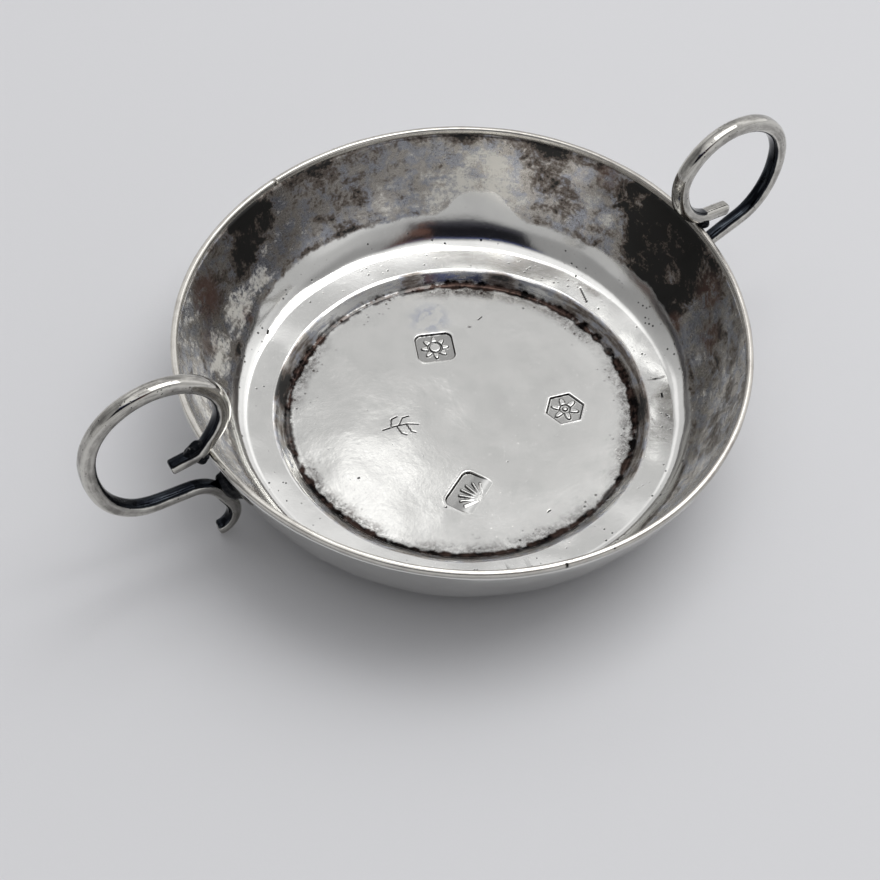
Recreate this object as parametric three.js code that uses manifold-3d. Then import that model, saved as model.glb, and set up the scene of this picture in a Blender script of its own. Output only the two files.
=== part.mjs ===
// Two-handled wine taster: a shallow cup raised from one sheet of silver,
// with a sunk round well, a lip wire and two bent wire handles soldered on.
// Millimetres, +Z up. The origin is on the underside of the foot that it stands
// on, under the middle of the lip, and the handles lie along X.

import * as THREE from "three";
import { mergeVertices } from "three/addons/utils/BufferGeometryUtils.js";
import Module from "manifold-3d";

const wasm = await Module();
wasm.setup();

// Driving sizes of the cup
const rimRadius = 45; // outside of the lip wire
const rimHeight = 20.7; // mean height of the lip above the table
const sheet = 0.8; // thickness of the silver
const footRadius = 27.5; // flat disc under the well, which it stands on
const stepHeight = 1.75; // how far the ledge stands above the well floor
const stepSlope = 42; // degrees, of the step's straight face
const cornerBend = 1.2; // inside bend between well floor and step
const ridgeBend = 0.35; // underside bend of the ridge round the well
const ledgeWidth = 3.65;
const ledgeTilt = 4.5; // degrees
const wallFlare = 19; // degrees from upright at the lip
const shoulderPull = 3.45; // how far the ledge runs on before it turns up
const wallPull = 9.56; // how far the wall holds its flare below the lip

// Driving sizes of the lip wire
const lipWidth = 1.05;
const lipHeight = 1.25;
const lipEdgeRound = 0.3;
const seamAzimuth = 100; // degrees, where its two ends meet
const seamGap = 0.3;

// The cup was raised by hand, so it isn't quite round or level
const rimOval = 0.42; // added to the radius at the lip, at its longest
const rimOvalAzimuth = 45; // degrees
const wellOval = 0.5;
const wellOvalAzimuth = 18;
const lipLift = 0.78; // rise and fall of the lip
const lipLiftAzimuth = 18;
const wellShiftX = 0.62; // how far the well lies off centre
const wellShiftY = -0.5;

// Driving sizes of the handle wire
const wireAcross = 2.5; // on the loop
const wireEndAcross = 2.15; // hammered thinner towards both ends
const stubThin = 0.06; // shares of the wire's length, from the stub's end
const stubTaper = 0.16;
const tailThin = 0.15; // and from the tail's end
const tailTaper = 0.35;
const wireSquareness = 3; // 2 is round, more is squarer
const fitGap = 0.3; // clearance between a piece and what carries it

// Where each handle stands and how its wire is bent. Lengths run outward from
// the lip's outer edge (Out) and upward from its top (Up), angles are degrees.
// The tail's turn lies down the wall from the joint (Run) and away from it (Off).
const leftBend = {
  azimuth: 180.4, yaw: -5,
  stubOut: 6.1, stubUp: -0.45, stubStraight: 4.2, stubHeading: 169,
  seatHeading: 125,
  innerOut: -2.5, innerUp: 8.3,
  topOut: 7.6, topUp: 17.9,
  outerOut: 18.5, outerUp: 7,
  lowOut: 8.4, lowUp: -7.3, lowHeading: 180,
  armOut: 3.2, armUp: -7.3, armHeading: 180,
  wallDrop: 9.8,
  tailRun: 5.3, tailOff: 0.4,
  tailEndOut: 2.8, tailEndDown: 3.4,
};
const rightBend = {
  azimuth: -0.6, yaw: 5,
  stubOut: 5.7, stubUp: 0.1, stubStraight: 4.2, stubHeading: 168,
  seatHeading: 155,
  innerOut: -5.7, innerUp: 10.8,
  topOut: 2.9, topUp: 18.4,
  outerOut: 15.7, outerUp: 5.9,
  lowOut: 9.6, lowUp: -4, lowHeading: 196,
  armOut: 3.9, armUp: -5.5, armHeading: 194,
  wallDrop: 9.6,
  tailRun: 5.2, tailOff: 0.5,
  tailEndOut: 2.8, tailEndDown: 3.4,
};

// Driving sizes of the solder left round each joint
const rimSolderAlong = 2.5; // half sizes, along the lip, outward and upward
const rimSolderOut = 2;
const rimSolderUp = 2;
const rimSolderOff = 1.1; // how far its middle lies outward of the wire's middle
const rimSolderSink = 1.3; // and under it
const wallSolderAlong = 2.5; // half sizes, round the wall, outward and down it
const wallSolderOut = 1.9;
const wallSolderDown = 5;
const solderFilm = 0.35; // what is left of it between the wire and the wall

// Fineness of the facets
const turns = 72; // facets round the cup
const bendSteps = 4;
const wallSteps = 10;
const lipRoundSteps = 2;
const wireSides = 12;
const wireSteps = 84;
const blobSides = 20;
const blobRings = 10;

const silver = (color, roughness) => new THREE.MeshStandardMaterial({ color, roughness, metalness: 1 });

const bowlSilver = silver(0xb9b8b2, 0.28);
const lipSilver = silver(0xd6d5cf, 0.22);
const handleSilver = silver(0xa3a09b, 0.3);
const blackenedSolder = silver(0x3a3735, 0.55);

// Section of the cup

const degrees = THREE.MathUtils.degToRad;
const direction = (angle) => new THREE.Vector2(Math.cos(degrees(angle)), Math.sin(degrees(angle)));

const arc = (centre, radius, from, to) =>
  Array.from({ length: bendSteps + 1 }, (_, i) =>
    direction(from + ((to - from) * i) / bendSteps).multiplyScalar(radius).add(centre));

// The step is two opposite bends with a straight sloped face between them.
const stepBends = cornerBend + ridgeBend + sheet;
const bendRise = stepBends * (1 - Math.cos(degrees(stepSlope)));
const stepRun = (stepHeight - bendRise) / Math.sin(degrees(stepSlope));
const cornerCentre = new THREE.Vector2(footRadius, sheet + cornerBend);
const ridgeCentre = direction(stepSlope - 90).multiplyScalar(stepBends)
  .addScaledVector(direction(stepSlope), stepRun).add(cornerCentre);

// Middle line of the wall, from the end of the ledge to just under the lip wire.
function wallCurve() {
  const along = direction(ledgeTilt);
  const upward = direction(90 - wallFlare);
  const ridgeTop = new THREE.Vector2(0, ridgeBend + sheet / 2).add(ridgeCentre);
  const ledgeEnd = along.clone().multiplyScalar(ledgeWidth).add(ridgeTop);
  const cutEdge = (upward.x * sheet) / 2;
  const mouthHeight = rimHeight - lipHeight - fitGap - cutEdge;
  const mouth = new THREE.Vector2(rimRadius - lipWidth / 2, mouthHeight);
  const shoulder = along.clone().multiplyScalar(shoulderPull).add(ledgeEnd);
  const belly = upward.clone().multiplyScalar(-wallPull).add(mouth);
  return new THREE.CubicBezierCurve(ledgeEnd, shoulder, belly, mouth);
}

// The wall's middle line, moved by a distance towards its underside.
function wallLine(offset) {
  const curve = wallCurve();
  return Array.from({ length: wallSteps + 1 }, (_, i) => {
    const tangent = curve.getTangent(i / wallSteps);
    const outward = new THREE.Vector2(tangent.y, -tangent.x);
    return outward.multiplyScalar(offset).add(curve.getPoint(i / wallSteps));
  });
}

// A line through the cup from the axis to the mouth, this deep under its upper face.
const faceLine = (depth) => [
  new THREE.Vector2(0, sheet - depth),
  ...arc(cornerCentre, cornerBend + depth, -90, stepSlope - 90),
  ...arc(ridgeCentre, ridgeBend + sheet - depth, stepSlope + 90, 90),
  ...wallLine(depth - sheet / 2),
];

// Moves a point of the true round shape to where hand raising left it.
function raise(point) {
  const share = point.z / rimHeight;
  const reach = Math.min(1, Math.hypot(point.x, point.y) / rimRadius);
  const angle = Math.atan2(point.y, point.x);
  const wave = (azimuth) => Math.cos(2 * (angle - degrees(azimuth)));
  const oval = rimOval * share * wave(rimOvalAzimuth) + wellOval * (1 - share) * wave(wellOvalAzimuth);
  const grow = 1 + oval / rimRadius;
  return new THREE.Vector3(
    point.x * grow + wellShiftX * (1 - share),
    point.y * grow + wellShiftY * (1 - share),
    point.z + lipLift * share * reach * wave(lipLiftAzimuth));
}

// Shapes and solids

function move(geometry, change) {
  const position = geometry.getAttribute("position");
  for (let i = 0; i < position.count; i += 1) {
    const moved = change(new THREE.Vector3().fromBufferAttribute(position, i));
    position.setXYZ(i, moved.x, moved.y, moved.z);
  }
  return geometry;
}

// Joins the corners that facets share and drops facets without area, so that
// the surface is one closed skin.
function closed(geometry) {
  geometry.deleteAttribute("normal");
  geometry.deleteAttribute("uv");
  const skin = mergeVertices(geometry);
  const corners = skin.getIndex().array;
  const kept = [];
  for (let i = 0; i < corners.length; i += 3) {
    const [a, b, c] = corners.slice(i, i + 3);
    if (a !== b && b !== c && c !== a) kept.push(a, b, c);
  }
  skin.setIndex(kept);
  return skin;
}

// Turns an outline about Z. It starts and ends on the axis, underside first.
const turned = (outline) => closed(new THREE.LatheGeometry(outline, turns).rotateX(Math.PI / 2));

function solid(geometry) {
  return new wasm.Manifold(new wasm.Mesh({
    numProp: 3,
    vertProperties: new Float32Array(geometry.getAttribute("position").array),
    triVerts: new Uint32Array(geometry.getIndex().array),
  }));
}

function geometryOf(body) {
  const { vertProperties, triVerts } = body.getMesh();
  const geometry = new THREE.BufferGeometry();
  geometry.setAttribute("position", new THREE.BufferAttribute(vertProperties, 3));
  geometry.setIndex(new THREE.BufferAttribute(triVerts, 1));
  geometry.computeVertexNormals();
  return geometry;
}

function named(name, geometry, material) {
  const mesh = new THREE.Mesh(geometry, material);
  mesh.name = name;
  return mesh;
}

// Cup: one sheet, raised and planished, with its edge under the lip wire.
function bowl() {
  const outline = [...faceLine(sheet), ...faceLine(0).reverse()];
  return named("bowl", move(turned(outline), raise), bowlSilver);
}

// Lip wire: a strip with softened edges, bent round the mouth, its ends butted.
class LipPath extends THREE.Curve {
  getPoint(share, target = new THREE.Vector3()) {
    const gap = THREE.MathUtils.radToDeg(seamGap / rimRadius);
    const place = direction(seamAzimuth + gap / 2 + (360 - gap) * share);
    place.multiplyScalar(rimRadius - lipWidth / 2);
    return target.set(place.x, place.y, rimHeight - lipHeight / 2);
  }
}

function softRectangle(width, height, round) {
  const x = width / 2 - round;
  const y = height / 2 - round;
  const shape = new THREE.Shape();
  shape.absarc(x, y, round, 0, Math.PI / 2);
  shape.absarc(-x, y, round, Math.PI / 2, Math.PI);
  shape.absarc(-x, -y, round, Math.PI, (3 * Math.PI) / 2);
  shape.absarc(x, -y, round, (3 * Math.PI) / 2, 2 * Math.PI);
  return shape;
}

function rimWire() {
  const strip = new THREE.ExtrudeGeometry(softRectangle(lipHeight, lipWidth, lipEdgeRound), {
    extrudePath: new LipPath(), steps: turns, curveSegments: lipRoundSteps,
  });
  return named("rim_wire", closed(move(strip, raise)), lipSilver);
}

// Handles

// How far the wire's middle stays from the lip that it lies on, and from the wall.
const lipStandOff = wireEndAcross / 2 + fitGap;
const wallStandOff = lipStandOff + solderFilm + fitGap;

// Frame of a handle: its origin is the lip's outer top edge, X runs outward.
function handleFrame(bend) {
  const foot = direction(bend.azimuth).multiplyScalar(rimRadius);
  const frame = new THREE.Group();
  frame.position.copy(raise(new THREE.Vector3(foot.x, foot.y, rimHeight)));
  frame.rotation.z = degrees(bend.azimuth + bend.yaw);
  frame.updateMatrixWorld();
  return frame;
}

// Where a handle's wire lies against the outside of the wall, in its frame.
function wallSeat(bend, frame) {
  const height = rimHeight - bend.wallDrop;
  const line = wallLine(sheet / 2);
  const above = line.findIndex((point) => point.y > height);
  const rise = (height - line[above - 1].y) / (line[above].y - line[above - 1].y);
  const onLine = line[above - 1].clone().lerp(line[above], rise);
  const place = direction(bend.azimuth).multiplyScalar(onLine.x);
  const wall = raise(new THREE.Vector3(place.x, place.y, height));
  frame.worldToLocal(wall);
  const slope = line[above].clone().sub(line[above - 1]).angle();
  return { at: new THREE.Vector2(wall.x, wall.z), slope: THREE.MathUtils.radToDeg(slope) };
}

const knot = (at, heading) => ({ at, heading });
const step = (from, angle, length) => direction(angle).multiplyScalar(length).add(from);

// The bends that the wire runs through, from the stub over the loop to the tail.
function wireKnots(bend, wall) {
  const at = (out, up) => new THREE.Vector2(out, up);
  const stubEnd = at(bend.stubOut, bend.stubUp);
  const touch = step(wall.at, wall.slope - 90, wallStandOff);
  const tailRun = step(touch, wall.slope + 180, bend.tailRun);
  const tailTurn = step(tailRun, wall.slope - 90, bend.tailOff);
  return [
    knot(stubEnd, bend.stubHeading),
    knot(step(stubEnd, bend.stubHeading, bend.stubStraight), bend.stubHeading),
    knot(direction(bend.seatHeading - 90).multiplyScalar(lipStandOff), bend.seatHeading),
    knot(at(bend.innerOut, bend.innerUp), 90),
    knot(at(bend.topOut, bend.topUp), 0),
    knot(at(bend.outerOut, bend.outerUp), -90),
    knot(at(bend.lowOut, bend.lowUp), bend.lowHeading),
    knot(at(bend.armOut, bend.armUp), bend.armHeading),
    knot(touch, wall.slope + 180),
    knot(tailTurn, 270),
    knot(at(tailTurn.x + bend.tailEndOut, tailTurn.y - bend.tailEndDown), 360),
  ];
}

// Smooth piece of wire between two bends, as near to a round arc as they allow.
function wireArc(from, to) {
  const turn = degrees(THREE.MathUtils.euclideanModulo(to.heading - from.heading + 180, 360) - 180);
  const roundness = turn === 0 ? 1 : (2 * Math.tan(turn / 4)) / Math.sin(turn / 2);
  const pull = (from.at.distanceTo(to.at) * roundness) / 3;
  const upright = (point) => new THREE.Vector3(point.x, 0, point.y);
  return new THREE.CubicBezierCurve3(
    upright(from.at), upright(step(from.at, from.heading, pull)),
    upright(step(to.at, to.heading, -pull)), upright(to.at));
}

function wirePath(bend, wall) {
  const path = new THREE.CurvePath();
  const knots = wireKnots(bend, wall);
  knots.slice(1).forEach((to, i) => path.add(wireArc(knots[i], to)));
  return path;
}

// Half the wire's thickness at a share of its length.
function wireHalf(share) {
  const full = THREE.MathUtils.smoothstep(share, stubThin, stubTaper) *
    THREE.MathUtils.smoothstep(1 - share, tailThin, tailTaper);
  return THREE.MathUtils.lerp(wireEndAcross, wireAcross, full) / 2;
}

// How far a softly squared outline of half width 1 reaches in a direction.
const squared = (x, y) =>
  (Math.abs(x) ** wireSquareness + Math.abs(y) ** wireSquareness) ** (-1 / wireSquareness);

// A straight squared wire, bent along the path, thicker all over by a margin.
function bentWire(path, margin = 0) {
  const wire = new THREE.CylinderGeometry(1, 1, 1, wireSides, wireSteps, false, Math.PI / wireSides);
  return closed(move(wire, ({ x, y, z }) => {
    const share = y + 1 / 2;
    const middle = path.getPoint(share);
    if (x === 0 && z === 0) return middle;
    const run = path.getTangent(share);
    const half = (wireHalf(share) + margin) * squared(x, z);
    return middle.add(new THREE.Vector3(run.z * z, x, -run.x * z).multiplyScalar(half));
  }));
}

// Solder

// Room that the cup and lip wire take up, with the clearance round it.
function cupRoom() {
  const reach = rimRadius + fitGap;
  const outline = [
    ...faceLine(sheet + fitGap),
    new THREE.Vector2(reach, rimHeight - lipHeight - fitGap),
    new THREE.Vector2(reach, rimHeight + fitGap),
    new THREE.Vector2(0, rimHeight + fitGap),
  ];
  return move(turned(outline), raise);
}

// A lump of solder flowed round the wire, clear of the wire and the cup.
function solder(name, lump, frame, path) {
  const room = solid(cupRoom().applyMatrix4(frame.matrixWorld.clone().invert()));
  const wire = solid(bentWire(path, fitGap));
  const body = solid(closed(lump)).subtract(wire).subtract(room);
  return named(name, geometryOf(body), blackenedSolder);
}

function rimLump(bend) {
  const centre = direction(bend.seatHeading - 90).multiplyScalar(lipStandOff);
  return new THREE.SphereGeometry(1, blobSides, blobRings)
    .scale(rimSolderOut, rimSolderAlong, rimSolderUp)
    .translate(centre.x + rimSolderOff, 0, centre.y - rimSolderSink);
}

function wallLump(wall) {
  const centre = step(wall.at, wall.slope - 90, fitGap);
  return new THREE.SphereGeometry(1, blobSides, blobRings)
    .scale(wallSolderOut, wallSolderAlong, wallSolderDown)
    .rotateY(degrees(90 - wall.slope))
    .translate(centre.x, 0, centre.y);
}

function handle(side, bend) {
  const frame = handleFrame(bend);
  const wall = wallSeat(bend, frame);
  const path = wirePath(bend, wall);
  frame.add(
    named(`${side}_handle`, bentWire(path), handleSilver),
    solder(`${side}_rim_solder`, rimLump(bend), frame, path),
    solder(`${side}_wall_solder`, wallLump(wall), frame, path));
  return frame;
}

const taster = new THREE.Group();
taster.add(bowl(), rimWire(), handle("left", leftBend), handle("right", rightBend));

export default taster;
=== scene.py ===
# %% [markdown]
# # A two-handled wine taster
#
# The real object is a shallow silver cup, 90 mm across, raised with a hammer from one
# sheet. A round well is sunk in its middle, a narrow silver strip strengthens its lip,
# and two bent wires are soldered on as handles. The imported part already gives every
# piece its place and its size. This lesson dresses it: the same pieces are made again
# with finer surfaces, hammer marks, punches and old silver's dirt and polish.

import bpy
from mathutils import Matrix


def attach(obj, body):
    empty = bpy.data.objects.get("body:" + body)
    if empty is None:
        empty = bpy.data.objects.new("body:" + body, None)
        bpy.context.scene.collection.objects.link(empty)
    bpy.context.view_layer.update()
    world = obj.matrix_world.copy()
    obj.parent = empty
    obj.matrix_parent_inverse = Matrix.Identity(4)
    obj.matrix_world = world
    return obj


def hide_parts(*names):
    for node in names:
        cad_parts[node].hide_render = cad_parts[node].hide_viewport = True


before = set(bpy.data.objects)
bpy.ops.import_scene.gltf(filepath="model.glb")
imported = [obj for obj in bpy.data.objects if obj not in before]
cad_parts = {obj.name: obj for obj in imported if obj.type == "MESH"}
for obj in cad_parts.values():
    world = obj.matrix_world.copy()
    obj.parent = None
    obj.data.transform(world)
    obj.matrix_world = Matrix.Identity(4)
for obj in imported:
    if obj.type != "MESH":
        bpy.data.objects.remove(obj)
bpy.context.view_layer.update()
print("nodes", sorted(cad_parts))

# %% Modules used below
from math import atan2, cos, degrees, exp, hypot, pi, radians, sin, tan

import bmesh
import bpy
from mathutils import Matrix, Vector, noise
from mathutils.geometry import interpolate_bezier

# %% [markdown]
# ## Camera
#
# The camera has the photograph's angle: it stands in front of the cup, a little over
# 50 degrees up, and leans very slightly. Its place could be written as one matrix of
# numbers, but then nobody could read or change it. So the matrix is built up from an
# aim point with two turns, a small lean and a distance, as one would move a tripod.

# %% Camera
mm = 0.001
aim_height = 20.7 * mm  # level of the lip
view_turn = -36.6  # degrees round the cup
view_rise = 51.408  # degrees above the table
view_lean = 4.172  # degrees that the picture is slanted
view_distance = 348.04 * mm
view_aside = 3.61 * mm
view_down = 16.49 * mm
view_lens = 93.02  # millimetres, as the sensor's width
sensor_width = 36

camera = bpy.data.objects.new("camera", bpy.data.cameras.new("camera"))
bpy.context.scene.collection.objects.link(camera)
bpy.context.scene.camera = camera
camera.data.lens = view_lens
camera.data.sensor_width = sensor_width
camera.data.clip_start = 10 * mm
camera.matrix_world = (
    Matrix.Translation((0, 0, aim_height))
    @ Matrix.Rotation(radians(view_turn), 4, "Z")
    @ Matrix.Rotation(radians(90 - view_rise), 4, "X")
    @ Matrix.Rotation(radians(view_lean), 4, "Z")
    @ Matrix.Translation((-view_aside, -view_down, view_distance))
)
print("camera stands at", [round(n, 4) for n in camera.matrix_world.translation])

# %% [markdown]
# ## Shader maths
#
# A material is a net of small nodes. Wiring them one by one hides the idea, so one
# small class wraps a node's output and lets Python's own signs add the Math nodes:
# `1 - dirt * wear` makes three of them. Every other node comes from one method, which
# sets the node's settings before its sockets.

# %% One class for shader maths
class Shade:
    """An output socket of a node, which can be used in sums."""

    def __init__(self, tree, socket=None):
        self.tree = tree
        self.socket = socket

    def node(self, kind, settings=None, inputs=None, output=0):
        made = self.tree.nodes.new("ShaderNode" + kind)
        for name, value in (settings or {}).items():
            setattr(made, name, value)
        for name, value in (inputs or {}).items():
            if isinstance(value, Shade):
                self.tree.links.new(value.socket, made.inputs[name])
            else:
                made.inputs[name].default_value = value
        return Shade(self.tree, made.outputs[output] if made.outputs else None)

    def math(self, operation, first, second=0.0):
        return self.node("Math", {"operation": operation}, {0: first, 1: second})

    def __add__(self, other):
        return self.math("ADD", self, other)

    def __sub__(self, other):
        return self.math("SUBTRACT", self, other)

    def __rsub__(self, other):
        return self.math("SUBTRACT", other, self)

    def __mul__(self, other):
        return self.math("MULTIPLY", self, other)

    __radd__ = __add__
    __rmul__ = __mul__

    def __abs__(self):
        return self.math("ABSOLUTE", self)

    def smooth(self, low, high):
        """0 below low and 1 above high, with an eased change between."""
        return self.node(
            "MapRange",
            {"interpolation_type": "SMOOTHSTEP"},
            {"Value": self, "From Min": low, "From Max": high},
        )

    def stretched(self, x, y, z):
        """The vector with each of its numbers multiplied."""
        return self.node("VectorMath", {"operation": "MULTIPLY"}, {0: self, 1: (x, y, z)})

    def towards(self, x, y, z):
        """How far the vector reaches in a direction."""
        return self.node(
            "VectorMath", {"operation": "DOT_PRODUCT"}, {0: self, 1: (x, y, z)}, "Value"
        )

    def cloud(self, size, detail=3.0, rough=0.55, twist=0.0):
        """Cloudy noise from 0 to 1, with patches of about that size."""
        return self.node(
            "TexNoise",
            {},
            {"Vector": self, "Scale": 1 / size, "Detail": detail, "Roughness": rough,
             "Distortion": twist},
        )

    def specks(self, size):
        """Distance to the nearest of many scattered points, in cells of that size."""
        return self.node("TexVoronoi", {}, {"Vector": self, "Scale": 1 / size})

    def mixed(self, below, above):
        """Colour below where this is 0 and colour above where it is 1."""
        # A Mix node's sockets 6 and 7 are its two colours, and output 2 is the mixed one
        return self.node("Mix", {"data_type": "RGBA"}, {0: self, 6: below, 7: above}, 2)


def new_material(name):
    material = bpy.data.materials.new(name)
    material.use_nodes = True
    material.node_tree.nodes.clear()
    return material, Shade(material.node_tree)


def finish_material(net, colour, roughness, metallic, height, depth):
    """Joins the last values to a Principled shader. The bump's depth is in metres."""
    normal = net.node(
        "Bump", {}, {"Strength": 1.0, "Distance": depth, "Height": height}
    )
    skin = net.node(
        "BsdfPrincipled",
        {},
        {"Base Color": colour, "Roughness": roughness, "Metallic": metallic,
         "Normal": normal},
    )
    net.node("OutputMaterial", {}, {"Surface": skin})


print("shader maths ready")

# %% [markdown]
# ## Floor and light
#
# The photograph was taken on plain pale paper, in soft daylight that falls from above
# and from behind on the right. Silver shows its surroundings more than itself, so they
# matter as much as the lamp. They are bright overhead and on the far side, fairly
# bright low down and on the right, and dark behind the camera, which the far shoulder
# of the cup mirrors. A picture of a room could be wrapped round the scene, but a few
# soft patches of brightness do the same and stay plain.
#
# In all the materials, a size in `cloud` or `specks` is a length on the piece, and the
# two numbers in `smooth` are the values between which a mask goes from 0 to 1.

# %% Floor
paper_grey = (0.68, 0.682, 0.695, 1)
paper, net = new_material("paper")
place = net.node("TexCoord", {}, {}, "Object")
grain = place.cloud(0.4 * mm, detail=2.0)
finish_material(
    net, paper_grey, roughness=0.7, metallic=0.0, height=grain, depth=0.01 * mm
)

floor_reach = 3.0
bm = bmesh.new()
bmesh.ops.create_circle(bm, cap_ends=True, segments=96, radius=floor_reach)
floor_mesh = bpy.data.meshes.new("floor")
bm.to_mesh(floor_mesh)
bm.free()
floor_mesh.materials.append(paper)
floor = bpy.data.objects.new("floor", floor_mesh)
bpy.context.scene.collection.objects.link(floor)
print("floor reaches", floor_reach, "m")

# %% Where the surroundings are bright
def sideways(turn, rise):
    """Unit vector: turn is in degrees from straight away from the camera."""
    across = radians(90 + view_turn - turn)
    return (
        cos(across) * cos(radians(rise)), sin(across) * cos(radians(rise)),
        sin(radians(rise)),
    )


world = bpy.data.worlds.new("surroundings")
bpy.context.scene.world = world
world.use_nodes = True
world.node_tree.nodes.clear()
net = Shade(world.node_tree)
look = net.node("TexCoord", {}, {}, "Generated")
height = look.towards(0, 0, 1)
far = look.towards(*sideways(0, 0))
right = look.towards(*sideways(90, 0))

room = 0.30  # brightness in every direction, to which the others are added
sky = far.smooth(-0.15, 0.5) * (0.19 + 0.15 * right.smooth(-0.18, 0.3))
sky = sky + 0.15 * abs(right).smooth(0.08, 0.2) * far.smooth(0.3, 0.5)
window = far.smooth(0.3, 0.5) * height.smooth(0.5, 0.6)
window = window * (1 - height.smooth(0.70, 0.745))
overhead = height.smooth(0.80, 0.89)
near_side = (0 - far).smooth(0.2, 0.4)
below = near_side * (1 - height.smooth(0.34, 0.42))
beyond = right.smooth(0.35, 0.7) * (1 - height.smooth(0.5, 0.7))
brightness = room + sky + 0.34 * window + 0.68 * overhead + 0.18 * (below + beyond)
print("the room's own brightness is", room)

# %% The dark patch, a bright window pane, and the world's shader
dim_grey = (0.035, 0.035, 0.045, 1)
nearly_black = (0.008, 0.008, 0.011, 1)
dusk_blue = (0.03, 0.045, 0.14, 1)
dim_brown = (0.12, 0.06, 0.045, 1)
twice_white = (2.0, 2.0, 2.03, 1)  # a mix stops at 1, so half the brightness leads here
pane_white = (2.1, 2.1, 2.1, 1)
pane_turn, pane_rise = -2.65, 53.09  # degrees

beside = abs(right - 0.05).smooth(0.40, 0.46)
facing = near_side * (1 - beside)
dark_side = facing * height.smooth(0.41, 0.45) * (1 - height.smooth(0.793, 0.818))
gloom = height.smooth(0.48, 0.56).mixed(dim_grey, nearly_black)
gloom = height.smooth(0.755, 0.775).mixed(gloom, dusk_blue)
brownish = right.smooth(0.24, 0.32) * look.cloud(0.12, detail=4.0).smooth(0.44, 0.54)
gloom = (0.85 * brownish).mixed(gloom, dim_brown)
glow = (0.5 * brightness).mixed((0, 0, 0, 1), twice_white)
glow = dark_side.mixed(glow, gloom)
pane = look.towards(*sideways(pane_turn, pane_rise)).smooth(0.9996, 0.9999)
glow = pane.mixed(glow, pane_white)
net.node(
    "OutputWorld", {}, {"Surface": net.node("Background", {}, {"Color": glow})}
)
print("the surroundings have", len(world.node_tree.nodes), "nodes")

# %% Lamp
def soft_lamp(name, turn, rise, distance, across, power):
    """A square lamp that faces the cup, in degrees, metres and watts."""
    lamp = bpy.data.lights.new(name, "AREA")
    lamp.size = across
    lamp.energy = power
    holder = bpy.data.objects.new(name, lamp)
    toward = Vector(sideways(turn, rise))
    holder.matrix_world = (
        Matrix.Translation(toward * distance)
        @ toward.to_track_quat("Z", "Y").to_matrix().to_4x4()
    )
    bpy.context.scene.collection.objects.link(holder)
    print(name, "stands", distance, "m away")


soft_lamp("window_lamp", turn=50, rise=68, distance=0.8, across=0.6, power=2.3)

bpy.context.scene.view_settings.view_transform = "Standard"

# %% [markdown]
# ## The cup's outline
#
# The cup is round, so half of its outline says everything: a flat well, a straight
# step between two opposite bends, a ledge, and a wall that is one smooth curve. It
# could be modelled ring by ring with insets, but a line is easier to measure and to
# change. All sizes are in millimetres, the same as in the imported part. The mesh is made
# smaller by a thousand at the very end.

# %% Sizes of the cup
rim_radius = 45
rim_height = 20.7
sheet = 0.8  # thickness of the silver
foot_radius = 27.5
step_height = 1.75
step_slope = 42  # degrees
corner_bend = 1.2
ridge_bend = 0.35
ledge_width = 3.65
ledge_tilt = 4.5
wall_flare = 19
shoulder_pull = 3.45  # how far the wall's curve keeps the ledge's direction
wall_pull = 9.56  # and how far it keeps the flare at the lip
lip_width = 1.05
lip_height = 1.25
lip_bite = 0.1  # how far the wall reaches into the lip's strip
wall_steps = 40


def heading(angle):
    """Unit vector, turned that many degrees from the outline's outward direction."""
    return Vector((cos(radians(angle)), sin(radians(angle))))


def arc(centre, radius, start, end, steps):
    return [
        centre + radius * heading(start + (end - start) * i / steps)
        for i in range(steps + 1)
    ]


step_bends = corner_bend + ridge_bend + sheet
bend_rise = step_bends * (1 - cos(radians(step_slope)))
step_run = (step_height - bend_rise) / sin(radians(step_slope))
corner_centre = Vector((foot_radius, sheet + corner_bend))
corner_end = corner_centre + corner_bend * heading(step_slope - 90)
ridge_centre = (
    corner_centre + step_bends * heading(step_slope - 90) + step_run * heading(step_slope)
)
ledge_end = (
    ridge_centre + Vector((0, ridge_bend + sheet / 2)) + ledge_width * heading(ledge_tilt)
)
mouth = Vector((rim_radius - lip_width / 2, rim_height - lip_height + lip_bite))
wall_middle = interpolate_bezier(
    ledge_end, ledge_end + shoulder_pull * heading(ledge_tilt),
    mouth - wall_pull * heading(90 - wall_flare), mouth, wall_steps,
)
print("the wall starts", round(ledge_end.x, 2), "mm from the middle")


# %% The line of the upper face
def moved_aside(line, distance):
    """The line moved to its left, which is the upper face of the sheet."""
    moved = []
    for i, point in enumerate(line):
        run = line[min(i + 1, len(line) - 1)] - line[max(i - 1, 0)]
        moved.append(point + distance * Vector((-run.y, run.x)).normalized())
    return moved


floor_rings = 26
corner_steps = 6
run_rings = 5
ridge_steps = 8
upper_face = [
    *(Vector((foot_radius * i / floor_rings, sheet)) for i in range(floor_rings)),
    *arc(corner_centre, corner_bend, -90, step_slope - 90, corner_steps),
    *(
        corner_end + step_run * i / run_rings * heading(step_slope)
        for i in range(1, run_rings)
    ),
    *arc(ridge_centre, ridge_bend + sheet, step_slope + 90, 90, ridge_steps),
    *moved_aside(wall_middle, sheet / 2),
]
print("the outline has", len(upper_face), "points")

# %% [markdown]
# ## Hand raising
#
# A hammered cup is never quite round or level: the lip is a little oval and rises and
# falls, and the well sits off centre. Corners could be pulled about by hand, but one
# function that moves any point does it for every piece alike. It makes the same gentle
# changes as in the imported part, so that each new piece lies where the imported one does.

# %% Changes that hand raising left
# Each is a size in millimetres and the direction of its widest or highest place
rim_oval, rim_oval_turn = 0.42, 45
well_oval, well_oval_turn = 0.5, 18
lip_lift, lip_lift_turn = 0.78, 18
well_shift = Vector((0.62, -0.5))


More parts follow.
